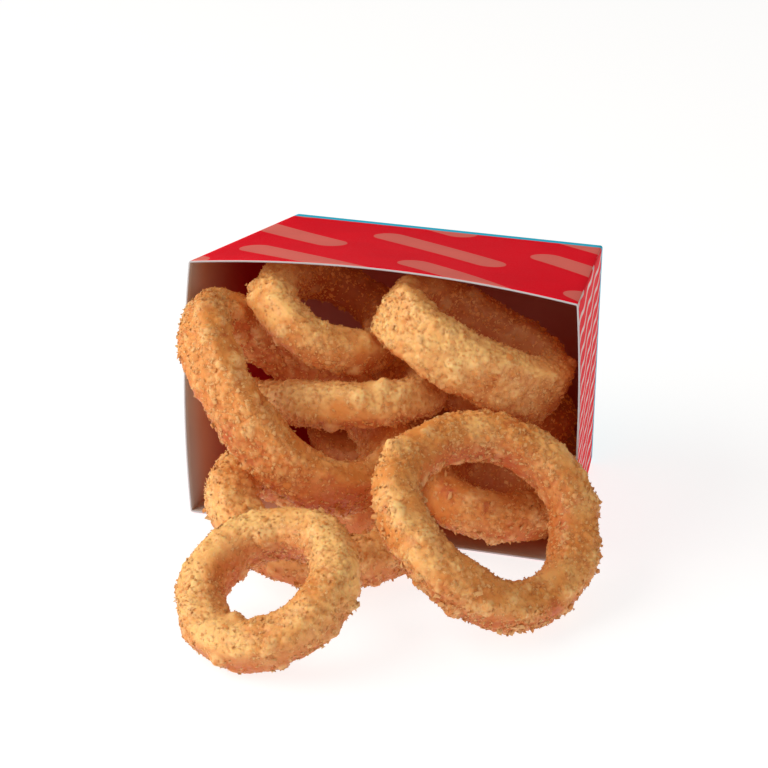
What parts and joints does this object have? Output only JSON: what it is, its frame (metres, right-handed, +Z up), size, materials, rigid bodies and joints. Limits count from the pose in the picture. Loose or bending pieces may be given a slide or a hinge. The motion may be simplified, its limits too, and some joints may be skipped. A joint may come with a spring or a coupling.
{
  "type": "onion rings side",
  "caption": "Side of breaded onion rings: a tapered paperboard carton lies on its wide panel with its mouth open, and fried rings fill it and lie in front.",
  "frame": {"origin": "centre of the underside of the carton's lower panel, on the surface that everything lies on", "axes": "+Z up; +Y from the open mouth into the carton; +X to the right of someone who looks into the mouth"},
  "size_m": [0.1425, 0.1857, 0.0895],
  "materials": {
    "red_paperboard": "printed paperboard, satin red outside with paler bars and a blue band at the base, bare white inside",
    "pale_crust": "rough pale golden breadcrumb crust",
    "golden_crust": "rough golden brown breadcrumb crust"
  },
  "bodies": {
    "root": {"carton": "red_paperboard", "ring_floor_left": "pale_crust", "ring_floor_right": "golden_crust", "ring_floor_back": "golden_crust", "ring_floor_deep": "golden_crust", "ring_back_right": "golden_crust", "ring_left_hanging": "golden_crust", "ring_middle": "pale_crust", "ring_top_left": "pale_crust", "ring_front_right": "pale_crust", "ring_top_right": "pale_crust", "ring_front_left": "pale_crust"}
  },
  "joints": []
}
